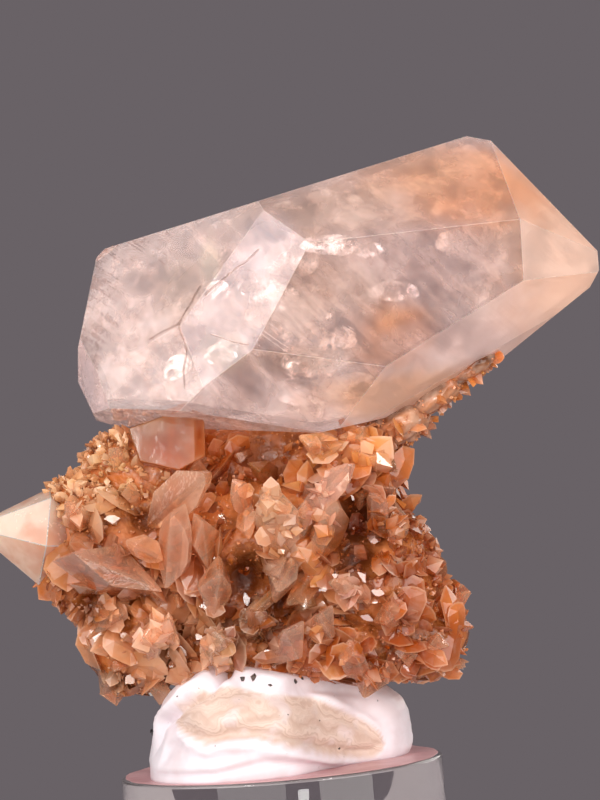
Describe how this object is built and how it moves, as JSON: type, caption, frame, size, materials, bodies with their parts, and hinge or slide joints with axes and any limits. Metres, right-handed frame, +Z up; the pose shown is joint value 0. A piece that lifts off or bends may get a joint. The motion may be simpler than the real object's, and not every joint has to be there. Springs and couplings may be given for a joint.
{
  "type": "calcite on matrix",
  "caption": "Large clear calcite crystal lying slantwise on a druse of small peach crystals, pressed into white putty on a round clear stand.",
  "frame": {"origin": "centre of the stand's underside", "axes": "+Z up, +X towards the free tip of the large crystal, the display front faces -Y"},
  "size_m": [0.1008, 0.05, 0.1158],
  "materials": {
    "clear_acrylic": "polished, see-through",
    "white_putty": "matt, kneaded into soft folds, with a cream smear",
    "peach_druse": "glassy crystal faces over rough brown rock",
    "pale_point_calcite": "milky, smooth faces",
    "clear_calcite": "glassy faces, milky and cracked inside, peach zones"
  },
  "bodies": {
    "root": {"acrylic_base": "clear_acrylic", "putty": "white_putty", "druse_matrix": "peach_druse", "point_crystal": "pale_point_calcite", "calcite_crystal": "clear_calcite"}
  },
  "joints": []
}
